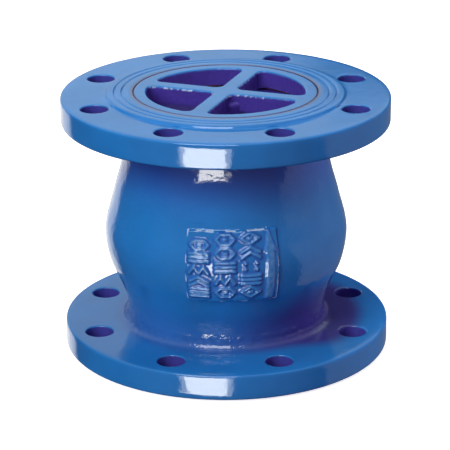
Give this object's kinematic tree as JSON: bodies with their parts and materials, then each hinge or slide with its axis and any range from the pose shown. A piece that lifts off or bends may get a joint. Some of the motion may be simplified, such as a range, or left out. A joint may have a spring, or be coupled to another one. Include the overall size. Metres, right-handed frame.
{
  "type": "silent check valve",
  "caption": "Flanged spring-closed check valve with a bulb-shaped blue-coated body, a ribbed guide frame in its outlet and a sprung disc on a guided stem.",
  "frame": {"origin": "centre of the inlet flange's raised face, the lowest face of the valve as it stands", "axes": "+Z along the pipe axis in the direction of flow, from the inlet flange up to the outlet flange; +X and +Y lie midway between flange bolt holes"},
  "size_m": [0.215, 0.215, 0.174],
  "materials": {
    "blue_coating": "gloss",
    "frame_coating": "gloss",
    "disc_coating": "satin",
    "bronze": "satin",
    "stainless_steel": "satin",
    "fastener_steel": "satin",
    "spring_steel": "satin",
    "rubber": "matte",
    "fibre_gasket": "matte"
  },
  "bodies": {
    "housing": {"valve_body": "blue_coating", "guide_frame": "frame_coating", "frame_gasket": "fibre_gasket", "upper_bush": "bronze", "seat_ring": "bronze", "seat_o_ring": "rubber", "lower_bush": "bronze", "spring": "spring_steel"},
    "spring_carrier": {"spring_seat": "stainless_steel"},
    "disc_assembly": {"disc": "disc_coating", "disc_seal": "rubber", "seal_retainer": "stainless_steel", "retainer_screw_1": "fastener_steel", "retainer_screw_2": "fastener_steel", "retainer_screw_3": "fastener_steel", "retainer_screw_4": "fastener_steel", "retainer_screw_5": "fastener_steel", "retainer_screw_6": "fastener_steel", "stem": "stainless_steel", "stem_nut": "fastener_steel", "lock_washer": "fastener_steel"}
  },
  "joints": [
    {"name": "disc_lift", "type": "slide", "parent": "housing", "child": "spring_carrier", "axis": [0, 0, 1], "range_m": [0, 0.024], "stiffness_N_per_m": 1060, "springref_m": -0.027, "deforming": ["spring"]},
    {"name": "disc_spin", "type": "hinge", "parent": "spring_carrier", "child": "disc_assembly", "pos_m": [0, 0, 0.0683], "axis": [0, 0, 1], "continuous": true}
  ]
}
